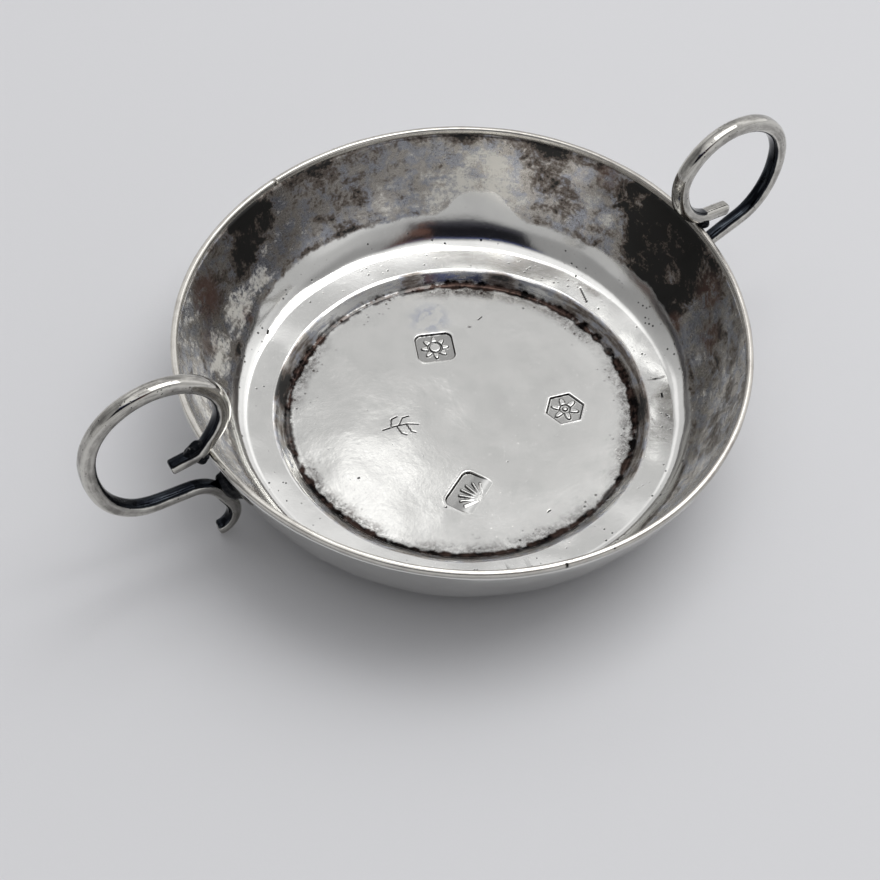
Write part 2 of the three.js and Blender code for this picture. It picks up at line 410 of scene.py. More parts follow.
def raised(point):
    """The point of the even cup moved to where hand raising left it."""
    share = point.z / rim_height
    turn = atan2(point.y, point.x)
    reach = min(1, hypot(point.x, point.y) / rim_radius)

    def wave(azimuth):
        return cos(2 * (turn - radians(azimuth)))

    oval = rim_oval * share * wave(rim_oval_turn)
    oval += well_oval * (1 - share) * wave(well_oval_turn)
    grow = 1 + oval / rim_radius
    lift = lip_lift * share * reach * wave(lip_lift_turn)
    return Vector((
        point.x * grow + well_shift.x * (1 - share),
        point.y * grow + well_shift.y * (1 - share),
        point.z + lift,
    ))


def hammered(point, size, depth):
    """Small rise or fall of a planished face at a point."""
    return depth * noise.noise(point / size)


print("the lip rises and falls by", lip_lift, "mm")

# %% Turn a mesh in millimetres into a piece
def make_piece(name, bm, material, node):
    """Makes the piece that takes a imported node's place and rides where it rode."""
    bmesh.ops.transform(bm, matrix=Matrix.Scale(mm, 4), verts=bm.verts)
    for face in bm.faces:
        face.smooth = True
    mesh = bpy.data.meshes.new(name)
    bm.to_mesh(mesh)
    bm.free()
    mesh.materials.append(material)
    piece = bpy.data.objects.new(name, mesh)
    bpy.context.scene.collection.objects.link(piece)
    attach(piece, "root")
    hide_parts(node)
    print(name, "has", sum(len(p.vertices) - 2 for p in mesh.polygons), "triangles")


# %% [markdown]
# ## Punches and scratches
#
# The well of a taster carries small struck marks. Each is pressed into the mesh: the
# faces round it are divided finely and their corners are pushed down by a small
# function of where they lie. A bump texture would be quicker, but it has no depth when
# the cup is turned. The motifs are plain old ornament: a rosette, a star and a shell,
# and a leaf sprig that is only scratched in. Old marks are worn, so every edge is soft.

# %% Soft shapes for the punches
def eased(low, high, value):
    """0 at low and 1 at high, with an eased change between."""
    share = min(1, max(0, (value - low) / (high - low)))
    return share * share * (3 - 2 * share)


def box_edge(u, v, half_u, half_v, corner):
    """Distance to a box with round corners, below zero inside."""
    a, b = abs(u) - half_u + corner, abs(v) - half_v + corner
    return hypot(max(a, 0), max(b, 0)) + min(max(a, b), 0) - corner


def star_edge(u, v, points, reach, hollow):
    """Rough distance to a star or flower with that many points."""
    turn = cos(points * atan2(v, u))
    return hypot(u, v) - reach * (1 - hollow * (1 - turn) / 2)


def stroke_edge(u, v, start, end, half):
    """Distance to a straight stroke with round ends."""
    run = Vector(end) - Vector(start)
    to = Vector((u, v)) - Vector(start)
    share = min(1, max(0, to.dot(run) / run.length_squared))
    return (to - share * run).length - half


burr_height, burr_width = 0.02, 0.35
motif_rise = 0.8  # share of the depth by which the motif stands up again


def punched(outline, motif, depth):
    """Depth under the floor where the outline is struck and the motif stands up."""
    burr = burr_height * exp(-((outline / burr_width) ** 2)) if outline > 0 else 0
    struck = depth * eased(0.12, -0.14, outline)
    return struck * (1 - motif_rise * eased(0.1, -0.12, motif)) - burr


print("a struck edge throws up a burr", burr_height, "mm high")


# %% Rosette, star and shell
def rosette_punch(u, v):
    outline = box_edge(u, v, half_u=3.1, half_v=2.9, corner=1.2)
    petals = star_edge(u, v, points=8, reach=2.3, hollow=0.45)
    ring = abs(hypot(u, v) - 1.05) - 0.16
    return punched(outline, max(petals, -ring), depth=0.34)


def star_punch(u, v):
    half_width, slant = 2.75, 0.866  # slant is the sine of a hexagon's 60 degrees
    outline = max(
        abs(u) - half_width,
        abs(0.5 * u + slant * v) - half_width,
        abs(0.5 * u - slant * v) - half_width,
    )
    rays = star_edge(u, v, points=6, reach=2.25, hollow=0.62)
    boss = hypot(u, v) - 0.62
    return punched(outline, max(rays, 0.24 - abs(boss)), depth=0.32)


def shell_punch(u, v):
    outline = max(box_edge(u, v, half_u=3.7, half_v=2.7, corner=1.3), -v - 2.2)
    hinge, rib_length = (0, -2.3), 2.6
    ribs = []
    for turn in (-75, -50, -25, 0, 25, 50, 75):
        tip = (rib_length * sin(radians(turn)), rib_length * cos(radians(turn)) - 1.2)
        ribs.append(stroke_edge(u, v, hinge, tip, half=0.2))
    tilt = eased(-2.6, 1.2, v)  # struck at an angle: deep on one side only
    return tilt * punched(outline, min(ribs), depth=0.42)


print("three punches ready")

# %% A scratched leaf sprig, and where the marks are
sprig = (  # both ends of each short scratch
    ((-2.6, -1.6), (-0.8, -0.5)), ((-0.8, -0.5), (1.0, 0.3)), ((1.0, 0.3), (2.8, 0.5)),
    ((-1.4, -0.9), (-1.6, 0.8)), ((-1.6, 0.8), (-0.8, 1.5)), ((-0.2, -0.2), (0.1, 1.4)),
    ((0.1, 1.4), (1.0, 1.9)), ((-0.6, -0.4), (0.4, -1.7)), ((0.4, -1.7), (1.3, -1.9)),
    ((0.9, 0.2), (1.9, -1.1)), ((1.9, -1.1), (2.6, -1.2)),
)
scratch_depth = 0.07


def leaf_scratch(u, v):
    strokes = [stroke_edge(u, v, start, end, half=0.05) for start, end in sprig]
    return scratch_depth * eased(0.12, -0.06, min(strokes))


marks = (  # shape, how far it reaches, its place in the well and its turn in degrees
    (rosette_punch, 4.6, (4.2, 14.2), -24),
    (star_punch, 4.0, (15.0, -7.5), 15),
    (shell_punch, 5.0, (-7.6, -13.6), 28),
    (leaf_scratch, 4.0, (-9.4, 3.4), -40),
)
print(len(marks), "marks for the well")

# %% Small old damage: pits and gouges in the floor and the ledge
gouges = (  # place of its middle, half length, turn in degrees, half width, depth
    ((30.4, 9.5), 1.5, 76, 0.17, 0.10),
    ((13.9, 15.5), 0.45, 15, 0.14, 0.04),
    ((11.4, 14.8), 0.1, 0, 0.15, 0.04),
    ((-18.6, 29.6), 0.3, 50, 0.2, 0.05),
    ((-11.6, -31.0), 0.3, 60, 0.18, 0.05),
    ((-9.0, -33.0), 0.06, 0, 0.28, 0.06),
    ((-13.4, -30.2), 0.06, 0, 0.22, 0.05),
    ((29.0, -14.6), 0.4, 60, 0.16, 0.05),
    ((30.2, -11.2), 0.2, 20, 0.17, 0.05),
    ((27.2, -18.4), 0.25, 95, 0.17, 0.05),
    ((-29.4, 9.6), 0.3, 40, 0.18, 0.05),
    ((-20.6, -2.2), 0.06, 0, 0.2, 0.04),
    ((-12.2, -14.0), 0.06, 0, 0.18, 0.04),
    ((1.0, -23.2), 0.3, 10, 0.14, 0.04),
)
print(len(gouges), "gouges")

# %% [markdown]
# ## Old silver
#
# Polished silver is one shader with its metallic value at 1. What makes it look old is
# where it isn't polished: dirt stays in corners and punches, tarnish drifts over the
# wall from a chalky film to black, and fine scratches soften the gloss. The cup's mesh
# carries four numbers at each corner, which say how far out and how high it lies,
# whether it is on the inside, and how much dirt a mark holds, with painted shade on a
# mark's steep edges. The material reads them as it would a painted map, which nobody
# has to paint and which stays sharp close up.

# %% Colours of silver and its dirt
clean_silver = (0.90, 0.895, 0.865, 1)
film_and_shade_grey = (0.50, 0.50, 0.49, 1)
cream_silver = (0.80, 0.78, 0.72, 1)
warm_tarnish = (0.43, 0.405, 0.375, 1)
cool_tarnish = (0.36, 0.375, 0.42, 1)
brown_tarnish = (0.145, 0.115, 0.095, 1)
red_brown = (0.19, 0.105, 0.085, 1)
blue_stain = (0.44, 0.48, 0.60, 1)
brown_dirt = (0.052, 0.034, 0.028, 1)
black_dirt_and_shade = (0.004, 0.0035, 0.0035, 1)
print("clean silver reflects", clean_silver[:3])


# %% Helpers that say where on a piece something is
def surface(net):
    """Place on the piece, in millimetres."""
    return net.node("TexCoord", {}, {}, "Object").stretched(1 / mm, 1 / mm, 1 / mm)


def painted(net, name):
    """Number that the mesh carries under that name."""
    return net.node("Attribute", {"attribute_name": name}, {}, "Fac")


def on_cup(turn, radius):
    """Point of the upper face: turn is in degrees from straight away from the camera."""
    above = next(i for i, p in enumerate(upper_face) if p.x > radius)
    low, high = upper_face[above - 1], upper_face[above]
    height = low.lerp(high, (radius - low.x) / (high.x - low.x)).y
    across = Vector(sideways(turn, 0)) * radius
    return raised(Vector((across.x, across.y, height)))


patch_core = 0.3  # share of its size over which a patch is full


def patch(place, turn, radius, half):
    """1 at a point of the upper face, and 0 further from it than half."""
    middle = on_cup(turn, radius)
    apart = place.node(
        "VectorMath", {"operation": "DISTANCE"}, {0: place, 1: middle}, "Value"
    )
    return 1 - apart.smooth(patch_core * half, half)


def patches(place, table):
    """Sum of the patches in a table of turn, radius, half size and strength."""
    total = 0
    for turn, radius, half, strength in table:
        total = strength * patch(place, turn, radius, half) + total
    return total


def pitted(place, size, radius):
    """1 in small round pits, of which only some cells have one."""
    wide = place.cloud(4 * size, detail=1.0).smooth(0.42, 0.62)
    return (1 - place.specks(size).smooth(0.5 * radius, radius)) * wide


print("a point of the ledge:", [round(n, 1) for n in on_cup(0, 31)])

# %% Where the cup is burnt, stained or rubbed clean
burnt_places = (  # turn in degrees, radius, half size, strength
    (-56, 43, 7, 1), (-62, 41.6, 5, 0.7), (40, 43, 7.5, 0.8), (51, 42.8, 8, 1),
    (60, 42.3, 6.5, 0.7), (45, 40.5, 7.5, 1), (56, 39.4, 7, 0.9), (50, 38.2, 4, 0.8),
)
rusty_places = (
    (-78, 42.3, 5.5, 1), (-86, 40.6, 3.5, 0.6), (-70, 38.2, 2, 0.6), (66, 42.3, 4.5, 0.7),
    (74, 40.6, 4, 0.6), (30, 43.5, 3, 0.5), (62, 38, 2.5, 0.7),
)
wall_places = (  # a strength below zero makes the tarnish paler
    (-72, 42.0, 6.5, 0.32), (-79, 43.2, 4, 0.3), (-87, 41.3, 4.5, 0.18),
    (-70, 37.2, 2.2, 0.4), (-79, 36.9, 2, 0.3), (-61, 37.6, 2.2, 0.4),
    (-71, 39.4, 6, -0.4), (-61, 39.6, 4, -0.3), (-90, 43, 5, -0.2),
    (-104, 40, 10, -0.28), (-86, 39.2, 5.5, -0.42), (-35, 42, 11, 0.25),
    (28, 41, 9, 0.12), (2, 42, 7, -0.42), (-6, 40, 6, -0.35), (7, 39.6, 6, -0.35),
    (15, 43.2, 6, 0.38), (19, 41, 6, 0.28), (28, 41.6, 2.3, -0.5),
    (32.5, 40.8, 2.1, -0.5), (54, 40.8, 3, -0.5), (67, 42.5, 4.5, 0.35),
    (74, 41, 4.5, 0.3), (81, 39.5, 4.5, 0.25), (80, 42.3, 8, 0.1),
    (100, 41.5, 9, 0.2), (-2, 43.8, 3, 0.35), (180, 42, 18, -0.42),
    (155, 41, 12, -0.25), (-155, 41, 12, -0.25),
)
step_places = (
    (-86, 29, 5.5, 0.9), (-70, 29, 6, 0.4), (-104, 29, 6, 0.35), (72, 29, 12, 0.5),
    (98, 29, 14, 0.45), (-160, 29, 18, 0.35), (155, 29, 18, 0.3), (-20, 29, 3, 0.5),
    (10, 28.6, 4, 0.6), (44, 29, 10, 0.4),
)
corner_places = (
    (-140, 27, 17, 1), (85, 27, 17, 0.8), (2, 27.4, 12, 1), (-76, 27.4, 10, 0.8),
    (38, 27, 8, 0.7), (150, 27, 14, 0.7), (180, 27, 8, 0.6),
)
print(len(burnt_places + rusty_places + wall_places), "places on the wall")
print(len(step_places + corner_places), "places on the step and in its corner")


# %% Places and clouds that the cup's finish is made from
def tarnished(tone, cool):
    """Colour of tarnish, from a cream film at 0 through grey and brown to black at 1."""
    film = cool.mixed(warm_tarnish, cool_tarnish)
    film = tone.smooth(-0.25, 0.40).mixed(cream_silver, film)
    film = tone.smooth(0.50, 0.84).mixed(film, brown_tarnish)
    return tone.smooth(0.84, 1.06).mixed(film, black_dirt_and_shade)


cup_silver, net = new_material("cup_silver")
place = surface(net)
reach, rise = painted(net, "reach"), painted(net, "rise")
inside, held_dirt_and_shade = painted(net, "inside"), painted(net, "dirt")

away = place.towards(*sideways(0, 0))
aside = place.towards(*sideways(90, 0))
ragged = place.cloud(1.8, detail=6.0, rough=0.68)
fine = place.cloud(0.35, detail=2.0)
speckle = place.cloud(0.55, detail=5.0, rough=0.75)
mottle = place.cloud(3.0, detail=9.0, rough=0.70, twist=0.5)
cool = place.cloud(2.2, detail=5.0, rough=0.6).smooth(0.42, 0.6)
drift = net.node("CombineXYZ", {}, {"X": reach, "Y": 0.1 * away, "Z": 0.1 * aside})
streak = drift.cloud(0.55, detail=5.0, rough=0.66)
print("places and clouds take", len(cup_silver.node_tree.nodes), "nodes")

# %% Dirt in the corner of the well: a thin line, and a smudge on its inner side
dirt_radius = 28.3
thin = place.cloud(2.2, detail=3.0).smooth(0.42, 0.62)
from_line = abs(reach + ragged - dirt_radius) + 0.4 * thin
line = 0.95 - 0.95 * from_line.smooth(0.4, 1.05)
smudge = 1 - abs(reach + 2.4 * ragged - dirt_radius).smooth(0.4, 2.5)
smudge = smudge * (0.35 + 0.65 * speckle.smooth(0.36, 0.58))
smudge = smudge * (0.06 + patches(place, corner_places)) * mottle.smooth(0.34, 0.56)
spill = pitted(place, 1.2, 0.24) * reach.smooth(22.5, 26.5) * (1 - reach.smooth(27.5, 29))
corner = (line + 0.85 * smudge + 0.7 * spill) * inside
print("the dirt lies", dirt_radius, "mm from the middle")

# %% Stains on the step's face
face = reach.smooth(27.8, 28.3) * (1 - reach.smooth(29.9, 30.4)) * inside
step_tone = 0.26 + 2.0 * (streak - 0.5) + 0.6 * (speckle - 0.5)
step_tone = step_tone + patches(place, step_places)
stained = 0.92 * face * step_tone.smooth(0.18, 0.5)
print("the step is", round(step_run, 2), "mm long between its bends")

# %% Tarnish on the wall above a tide line, which runs higher on the far side
# The heights that rise is compared with are millimetres above the table
peak = (1 - abs(aside - 1.5).smooth(1.5, 8)) * away.smooth(5, 20)
border = 4.5 + 2.3 * away.smooth(4, 28) + 3.6 * peak
over = rise - border + 1.7 * (ragged - 0.5)
wall = over.smooth(-0.25, 0.35) * inside
tide = (1 - abs(over - 0.4).smooth(0.2, 0.8)) * abs(aside).smooth(8, 14)
burnt = (patches(place, burnt_places) + 1.2 * (mottle - 0.5)).smooth(0.05, 1.0)
tone = 0.40 + 0.80 * burnt + patches(place, wall_places) + 0.22 * tide
tone = tone + 0.25 * rise.smooth(16.6, 18.6) * away.smooth(5, 20)
tone = tone + 2.1 * (mottle - 0.5) + 1.3 * (speckle - 0.5) + (streak - 0.5)
rust = patches(place, rusty_places) * mottle.smooth(0.36, 0.52) * wall
print("the finish has", len(cup_silver.node_tree.nodes), "nodes so far")

# %% Pits everywhere, more of them on the ledge and the shoulder, and one blue stain
pits = pitted(place, 4.0, 0.05) + 0.8 * pitted(place, 1.2, 0.09)
pits = pits + 0.5 * pitted(place, 0.8, 0.09)
pits = pits + pitted(place, 1.1, 0.22) * reach.smooth(30, 32) * (1 - reach.smooth(36, 38))
stain = 0.5 * patch(place, -18, 20.9, 4.4) * place.cloud(1.6, detail=7.0).smooth(0.44, 0.6)
print("with the pits it has", len(cup_silver.node_tree.nodes), "nodes")

# %% Colours, gloss and relief of the cup
clouds = place.cloud(5.0, detail=4.0).smooth(0.35, 0.75)
# A cloudy grey film on the inside, and on the whole outside a stronger grey that is
# painted shade.
colour = (0.10 + 0.16 * clouds + 0.4 * (1 - inside)).mixed(clean_silver, film_and_shade_grey)
colour = stain.mixed(colour, blue_stain)
colour = (0.95 * wall).mixed(colour, tarnished(tone, cool))
colour = (0.8 * rust).mixed(colour, red_brown)
colour = stained.mixed(colour, tarnished(step_tone, cool))
soil = ragged.smooth(0.4, 0.6).mixed(black_dirt_and_shade, brown_dirt)
colour = (0.94 * corner).mixed(colour, soil)
# Black for dirt held in marks, and painted shade on their steep edges.
colour = held_dirt_and_shade.mixed(colour, black_dirt_and_shade)
colour = (pits * inside).smooth(0.2, 0.8).mixed(colour, black_dirt_and_shade)

dull = wall * (0.4 + 0.6 * tone.smooth(0.3, 0.8)) + stained
roughness = 0.10 + 0.05 * fine + 0.24 * dull + 0.2 * held_dirt_and_shade
relief = place.cloud(1.6, detail=3.0) * 0.5 + 0.06 * fine - 0.6 * pits
chalk = wall * (1 - tone.smooth(-0.15, 0.42))
finish_material(
    net, colour, roughness, metallic=1 - 0.6 * chalk, height=relief, depth=0.02 * mm
)
print("cup silver has", len(cup_silver.node_tree.nodes), "nodes")

# %% [markdown]
# ## The cup
#
# The outline of the upper face is spun round the upright axis, and the sheet is given
# its thickness afterwards. Both faces could be drawn and spun together, but this keeps
# them the same distance apart. The real one was hammered over a stake, so its faces
# aren't smooth curves: a soft noise lifts and sinks them by a tenth of a millimetre or
# two. That is enough, because silver shows even that in its reflections.

# %% Spin the outline and thicken it
spin_steps = 200
bm = bmesh.new()
reach_of = bm.verts.layers.float.new("reach")
rise_of = bm.verts.layers.float.new("rise")
inside_of = bm.verts.layers.float.new("inside")
dirt_and_shade_of = bm.verts.layers.float.new("dirt")

chain = [bm.verts.new((p.x, 0, p.y)) for p in upper_face]
edges = [bm.edges.new(pair) for pair in zip(chain, chain[1:])]
bmesh.ops.spin(
    bm, geom=chain + edges, cent=(0, 0, 0), axis=(0, 0, 1), angle=2 * pi, steps=spin_steps,
    use_merge=True,
)
bmesh.ops.remove_doubles(bm, verts=bm.verts, dist=1e-5)
bmesh.ops.recalc_face_normals(bm, faces=bm.faces)
centre_face = min(bm.faces, key=lambda f: f.calc_center_median().length)
if centre_face.normal.z < 0:
    bmesh.ops.reverse_faces(bm, faces=bm.faces)
upper = set(bm.verts)
bmesh.ops.solidify(bm, geom=bm.faces, thickness=sheet)
for v in bm.verts:
    v[inside_of] = 1.0 if v in upper else 0.0
heights = [v.co.z for v in bm.verts]
print("the cup is", round(min(heights), 3), "to", round(max(heights), 3), "mm high")

# %% Divide the faces finely round each mark and press it in
def refined(bm, centre, radius, cuts):
    """Divides the well's upper faces near a place, and returns the corners there."""

    def near(v):
        apart = hypot(v.co.x - centre[0], v.co.y - centre[1])
        return apart < radius and v in upper_corners

    upper_corners = {v for v in bm.verts if v[inside_of] > 0.5}
    edges = [e for e in bm.edges if near(e.verts[0]) and near(e.verts[1])]
    bmesh.ops.subdivide_edges(bm, edges=edges, cuts=cuts, use_grid_fill=True)
    return [
        v for v in bm.verts
        if v[inside_of] > 0.5 and hypot(v.co.x - centre[0], v.co.y - centre[1]) < radius
    ]


def press(corners, centre, turn, depth_at, soiled):
    """Sinks the corners under a mark, leaves dirt where it is deep and paints shade on its
    steep edges.
    """
    across, up = heading(turn), heading(turn + 90)
    step = 0.06  # over which the slope is measured
    spots = []
    for v in corners:
        to = Vector((v.co.x - centre[0], v.co.y - centre[1]))
        u, w = to.dot(across), to.dot(up)
        spots.append((v, u, w, depth_at(u, w)))
    deepest = max([depth for v, u, w, depth in spots] + [1e-6])
    for v, u, w, depth in spots:
        slope = hypot(depth_at(u + step, w) - depth, depth_at(u, w + step) - depth) / step
        # Dirt fills the deep part of a mark; the dark on its steep edges is painted shade.
        soil = soiled(depth / deepest) + eased(0.9, 4.5, slope / deepest)
        v.co.z -= depth
        v[dirt_and_shade_of] = max(v[dirt_and_shade_of], min(1, soil))


def soiled_mark(share):
    """Dirt in a mark, at that share of its depth."""
    return 0.55 * eased(0.2, 0.7, share)


for depth_at, radius, centre, turn in marks:
    refined(bm, centre, radius + 2, cuts=1)
    corners = refined(bm, centre, radius, cuts=3)
    press(corners, centre, turn, depth_at, soiled_mark)
    print(depth_at.__name__, "moved", len(corners), "corners")


# %% Press in the gouges, more finely, because they are so small
def gouge(half_length, half_width, depth):
    def depth_at(u, v):
        edge = stroke_edge(u, v, (-half_length, 0), (half_length, 0), 0)
        return depth * eased(half_width, -half_width / 2, edge)
    return depth_at


def soiled_gouge(share):
    return eased(0.02, 0.3, share)


for centre, half_length, turn, half_width, depth in gouges:
    refined(bm, centre, half_length + 2.5, cuts=1)
    refined(bm, centre, half_length + 1.4, cuts=3)
    corners = refined(bm, centre, half_length + 0.9, cuts=1)
    press(corners, centre, turn, gouge(half_length, half_width, depth), soiled_gouge)
bmesh.ops.triangulate(bm, faces=[f for f in bm.faces if len(f.verts) > 4])
print("the last gouge moved", len(corners), "corners")

# %% Hammer it, raise it and finish the piece
for v in bm.verts:
    v[reach_of] = hypot(v.co.x, v.co.y)
    v[rise_of] = v.co.z
bm.normal_update()
deepest_blow = 0
for v in bm.verts:
    uneven = 0.3 + 0.7 * eased(foot_radius, foot_radius + 3, v[reach_of])
    push = hammered(v.co, size=6.5, depth=0.13 * uneven)
    push += hammered(v.co + Vector((9, 9, 9)), size=15, depth=0.16 * uneven)
    free = 1 - eased(18.5, 19.4, v.co.z)  # the lip's strip holds the edge
    if v[inside_of] < 0.5:
        push = -push
        free *= eased(0, 3, v.co.z)  # and the foot stands flat
    v.co += v.normal * push * free
    deepest_blow = max(deepest_blow, abs(push) * free)
for v in bm.verts:
    v.co = raised(v.co)
print("the hammer moved the faces by up to", round(deepest_blow, 2), "mm")
make_piece("cup", bm, cup_silver, "bowl")

# %% [markdown]
# ## The lip wire
#
# A narrow strip of silver runs round the mouth, so that the thin wall doesn't bend or
# cut. Its ends meet in a butt seam. A torus would give a round and endless ring. So the
# strip's section is drawn once, as a small box with soft corners, and spun through a
# little less than a full turn, which leaves the seam open.

# %% Finish of the lip
lip_silver, net = new_material("lip_silver")
place = surface(net)
held_dirt_and_shade = painted(net, "dirt")
fine = place.cloud(0.4, detail=3.0)
worn = place.cloud(3.0, detail=4.0).smooth(0.4, 0.75)
pits = pitted(place, 1.7, 0.12)
side = place.towards(*sideways(80, 0)).smooth(-10, 35)
colour = (0.25 + 0.4 * worn + 0.35 * side).mixed(cream_silver, warm_tarnish)
colour = (pits + held_dirt_and_shade).smooth(0.2, 0.8).mixed(colour, black_dirt_and_shade)
relief = 0.5 * place.cloud(1.1) + 0.15 * fine - 0.6 * pits
roughness = 0.2 + 0.08 * fine
finish_material(net, colour, roughness, metallic=1.0, height=relief, depth=0.02 * mm)
print("lip silver has", len(lip_silver.node_tree.nodes), "nodes")

# %% Spin the strip
seam_turn = 100  # degrees
seam_gap = 0.12  # degrees
lip_lean = 13  # degrees outward, as the wall leans
lip_steps = 540
bm = bmesh.new()
dirt_and_shade_of = bm.verts.layers.float.new("dirt")
middle = Vector((rim_radius - lip_width / 2, 0, rim_height - lip_height / 2))
corners = [
    bm.verts.new(middle + Vector((x * lip_width / 2, 0, z * lip_height / 2)))
    for x, z in ((-1, -1), (1, -1), (1, 1), (-1, 1))
]
bmesh.ops.contextual_create(bm, geom=corners)
bmesh.ops.bevel(
    bm, geom=corners, offset=0.42, segments=4, profile=0.5, affect="VERTICES", material=-1
)
bmesh.ops.delete(bm, geom=list(bm.faces), context="FACES_ONLY")
ring = list(bm.verts) + list(bm.edges)
bmesh.ops.rotate(
    bm, verts=bm.verts, cent=middle, matrix=Matrix.Rotation(radians(lip_lean), 3, "Y")
)
bmesh.ops.rotate(
    bm, verts=bm.verts, matrix=Matrix.Rotation(radians(seam_turn + seam_gap / 2), 3, "Z")
)
bmesh.ops.spin(
    bm, geom=ring, cent=(0, 0, 0), axis=(0, 0, 1), angle=radians(360 - seam_gap),
    steps=lip_steps,
)
bmesh.ops.holes_fill(bm, edges=[e for e in bm.edges if e.is_boundary])
bmesh.ops.recalc_face_normals(bm, faces=bm.faces)
print("the strip has", len(bm.verts), "corners")

# %% Make the strip uneven, nick it and raise it
nicks = ((-57.5, 0.13, 0.07), (-104.6, 0.12, 0.05))  # turn, half width and depth
for v in bm.verts:
    turn = degrees(atan2(v.co.y, v.co.x))
    thick = 1 + hammered(v.co, size=5, depth=0.10)
    ring_middle = Vector((*(middle.x * heading(turn)), middle.z))
    low = eased(middle.z - 0.25, middle.z - 0.5, v.co.z)
    v[dirt_and_shade_of] = low * (0.55 + 0.5 * noise.noise(v.co / 1.5))
    v.co = ring_middle + (v.co - ring_middle) * thick
    for nick_turn, half, depth in nicks:
        apart = abs((turn - nick_turn + 180) % 360 - 180) * radians(rim_radius)
        outer = eased(middle.x, middle.x + 0.3, hypot(v.co.x, v.co.y))
        cut = exp(-((apart / half) ** 2)) * outer
        v.co.z -= depth * cut
        v[dirt_and_shade_of] = max(v[dirt_and_shade_of], cut)
    v.co = raised(v.co)
make_piece("lip_wire", bm, lip_silver, "rim_wire")

# %% [markdown]
# ## The handles
#
# Each handle is one squared silver wire, hammered a little thinner at its ends and bent
# cold. The bend is a chain of curves in an upright plane: out over the lip, round the
# large loop, back under it as an arm, down the wall and out again as a tail. A curve
# object with a bevel would give a round pipe. Here the wire's square section is pushed
# along the path step by step, so that its edges and its thinning can be shaped.

# %% Finish of the wire
wire_light = (0.66, 0.645, 0.60, 1)
wire_grey = (0.24, 0.23, 0.215, 1)
shade_black = (0.007, 0.008, 0.011, 1)
sheen_blue = (0.038, 0.044, 0.052, 1)

wire_silver, net = new_material("wire_silver")
place = surface(net)
held_dirt_and_shade, edge = painted(net, "dirt"), painted(net, "edge")
drawn = net.node("Attribute", {"attribute_name": "drawn"}, {}, "Vector")
fine = place.cloud(0.3, detail=3.0)
streak = drawn.cloud(0.55, detail=5.0, rough=0.62)
blotch = place.cloud(2.2, detail=6.0, rough=0.62)
pits = pitted(place, 0.8, 0.18) + 0.8 * pitted(place, 0.5, 0.18)
tone = 0.38 + 0.8 * (streak - 0.5) + 0.7 * (blotch - 0.5) - 0.3 * edge
colour = tone.smooth(0.05, 0.60).mixed(wire_light, wire_grey)
colour = tone.smooth(0.55, 0.75).mixed(colour, brown_tarnish)
# The loop's inner side is painted black as shade, with a bluish painted sheen in its
# streaks.
stain = (held_dirt_and_shade + 0.6 * (blotch - 0.5)).smooth(0.35, 0.65)
inner_shade = streak.smooth(0.42, 0.66).mixed(shade_black, sheen_blue)
colour = stain.mixed(colour, inner_shade)
colour = pits.smooth(0.3, 0.8).mixed(colour, black_dirt_and_shade)
roughness = 0.07 + 0.05 * fine + 0.1 * tone.smooth(0.4, 0.8)
relief = 0.5 * place.cloud(1.2) + 0.06 * fine + 0.08 * streak - 0.6 * pits
finish_material(net, colour, roughness, metallic=1.0, height=relief, depth=0.03 * mm)
print("wire silver has", len(wire_silver.node_tree.nodes), "nodes")

# %% Sizes of the wire and its bends
wire_across = 2.5
wire_end_across = 2.15
stub_thin, stub_taper = 0.06, 0.16  # shares of the wire's length
tail_thin, tail_taper = 0.15, 0.35
lip_stand_off = wire_end_across / 2 + 0.3
wall_stand_off = lip_stand_off + 0.65
knot_points = 24  # points of the path from one knot to the next, both included

# Places are millimetres out from the lip's edge and up from it, headings are degrees
# The last number of each bend is the share of painted shade on the stub's inner side.
left_bend = dict(
    azimuth=180.4, yaw=-5, stub=(6.1, -0.45), stub_straight=4.2, stub_heading=169,
    seat_heading=125, inner=(-2.5, 8.3), top=(7.6, 17.9), outer=(18.5, 7),
    low=(8.4, -7.3), low_heading=180, arm=(3.2, -7.3), arm_heading=180, wall_drop=9.8,
    tail_run=5.3, tail_off=0.4, tail_end=(2.8, -3.4), stub_shade=1,
)
right_bend = dict(
    azimuth=-0.6, yaw=5, stub=(5.7, 0.1), stub_straight=4.2, stub_heading=168,
    seat_heading=155, inner=(-5.7, 10.8), top=(2.9, 18.4), outer=(15.7, 5.9),
    low=(9.6, -4), low_heading=196, arm=(3.9, -5.5), arm_heading=194, wall_drop=9.6,
    tail_run=5.2, tail_off=0.5, tail_end=(2.8, -3.4), stub_shade=0.15,
)
print("the wire is", wire_across, "mm across and", wire_end_across, "at its ends")


# %% Where a handle stands
def handle_frame(bend):
    """The lip's outer top edge is its origin, and its X runs outward."""
    foot = rim_radius * heading(bend["azimuth"])
    at = raised(Vector((foot.x, foot.y, rim_height)))
    turn = Matrix.Rotation(radians(bend["azimuth"] + bend["yaw"]), 4, "Z")
    return Matrix.Translation(at) @ turn


def wall_seat(bend, stand):
    """Place and slope of the wall's outside where the wire meets it."""
    height = rim_height - bend["wall_drop"]
    outer = moved_aside(wall_middle, -sheet / 2)
    i = next(i for i, p in enumerate(outer) if p.y > height)
    low, high = outer[i - 1], outer[i]
    on_line = low.lerp(high, (height - low.y) / (high.y - low.y))
    place = on_line.x * heading(bend["azimuth"])
    wall = stand.inverted() @ raised(Vector((place.x, place.y, height)))
    run = high - low
    return Vector((wall.x, wall.z)), degrees(atan2(run.y, run.x))


for bend in (left_bend, right_bend):
    place = handle_frame(bend).translation
    print("a handle stands at", [round(n, 1) for n in place], "mm")

# %% The path of the wire
at_the_wall = 8  # the number of that knot, counted from 0 at the stub


